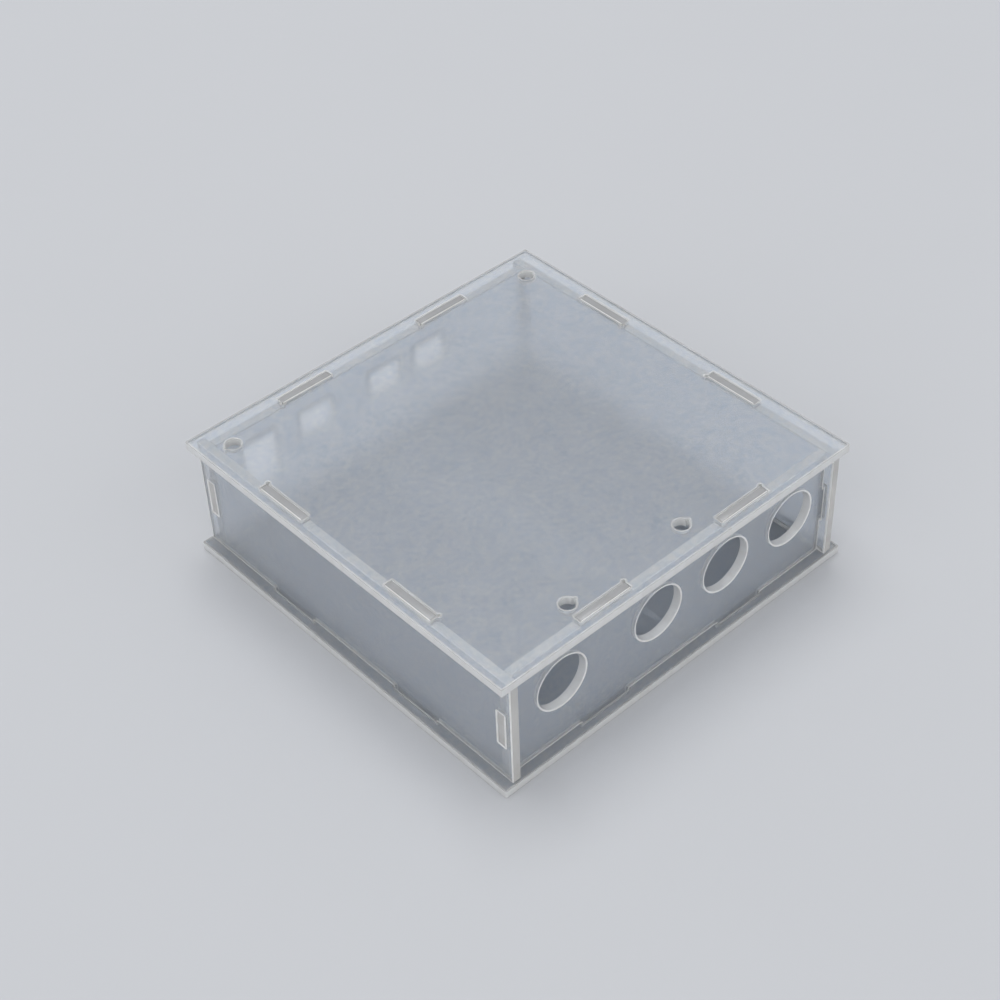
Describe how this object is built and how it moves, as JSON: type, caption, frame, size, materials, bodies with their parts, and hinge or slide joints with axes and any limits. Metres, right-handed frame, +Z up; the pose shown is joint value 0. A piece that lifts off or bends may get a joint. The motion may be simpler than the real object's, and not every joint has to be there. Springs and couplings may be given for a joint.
{
  "type": "acrylic amplifier case",
  "caption": "Low square case of frosted acrylic sheets that lock together by tabs and slots, with a row of round knob holes in front and connector windows behind.",
  "frame": {"origin": "middle of the footprint, on the underside of the bottom plate", "axes": "+Z up through the case; -Y towards the front panel with the knob holes; +X to the right seen from the front"},
  "size_m": [0.1, 0.1, 0.0315],
  "materials": {
    "frosted_acrylic": "colourless acrylic sheet, frosted on both faces, with clear laser-cut edges"
  },
  "bodies": {
    "root": {"bottom_plate": "frosted_acrylic", "top_plate": "frosted_acrylic", "front_panel": "frosted_acrylic", "rear_panel": "frosted_acrylic", "left_side_panel": "frosted_acrylic", "right_side_panel": "frosted_acrylic"}
  },
  "joints": []
}
